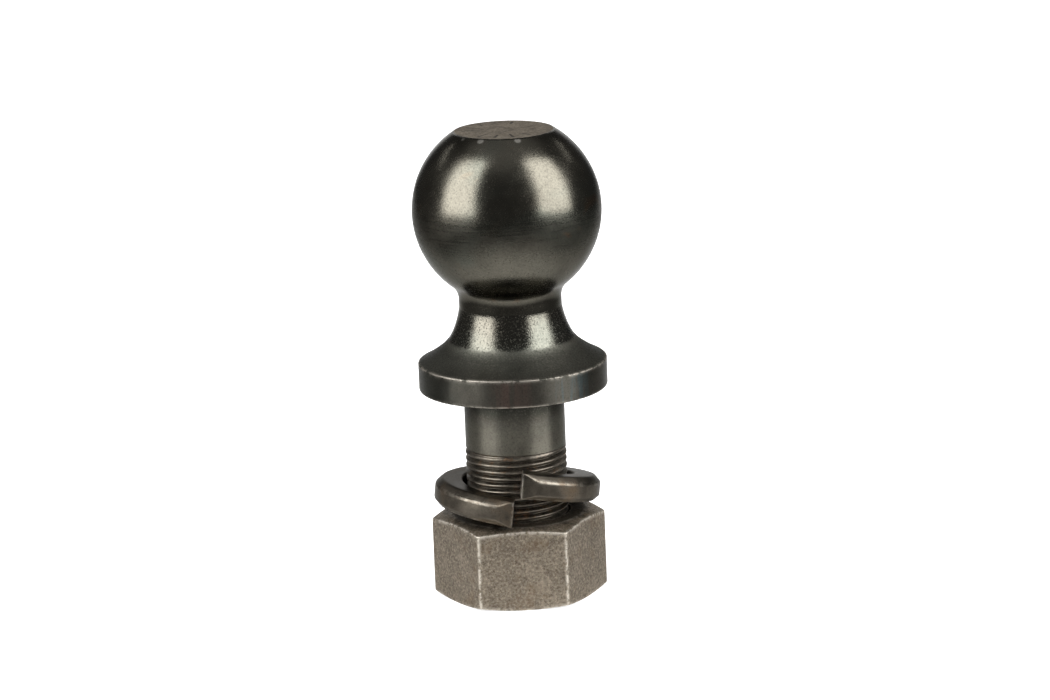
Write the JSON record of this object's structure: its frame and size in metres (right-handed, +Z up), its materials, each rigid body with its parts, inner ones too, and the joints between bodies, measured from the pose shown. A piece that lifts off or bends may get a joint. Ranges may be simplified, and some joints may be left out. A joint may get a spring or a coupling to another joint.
{
  "type": "trailer hitch ball",
  "caption": "Trailer hitch ball: a ball on a waisted neck and round flange, over a threaded shank with a split spring lock washer and a hex nut that screws along it.",
  "frame": {"origin": "on the shank's axis, in the plane of the nut's bottom face", "axes": "+Z up the shank to the ball; the lock washer's split faces -Y"},
  "size_m": [0.0588, 0.0588, 0.1475],
  "materials": {
    "black_oxide_steel": "satin black oxide over turned and forged steel",
    "dark_spring_steel": "dark tempered spring steel, bright sheared ends",
    "bare_tumbled_steel": "bare tumbled steel, bright worn edges"
  },
  "bodies": {
    "hitch_ball": {"hitch_ball": "black_oxide_steel"},
    "lock_washer": {"lock_washer": "dark_spring_steel"},
    "hex_nut": {"hex_nut": "bare_tumbled_steel"}
  },
  "joints": [
    {"name": "washer_travel", "type": "slide", "parent": "hitch_ball", "child": "lock_washer", "axis": [0, 0, 1], "range_m": [-0.02722, 0.01987]},
    {"name": "nut_turn", "type": "hinge", "parent": "lock_washer", "child": "hex_nut", "pos_m": [0, 0, 0.01305], "axis": [0, 0, 1], "range_deg": [-4630, 3380]}
  ],
  "couplings": [
    {"joint": "washer_travel", "follows": "nut_turn", "m_per_rad": 0.00033688}
  ]
}
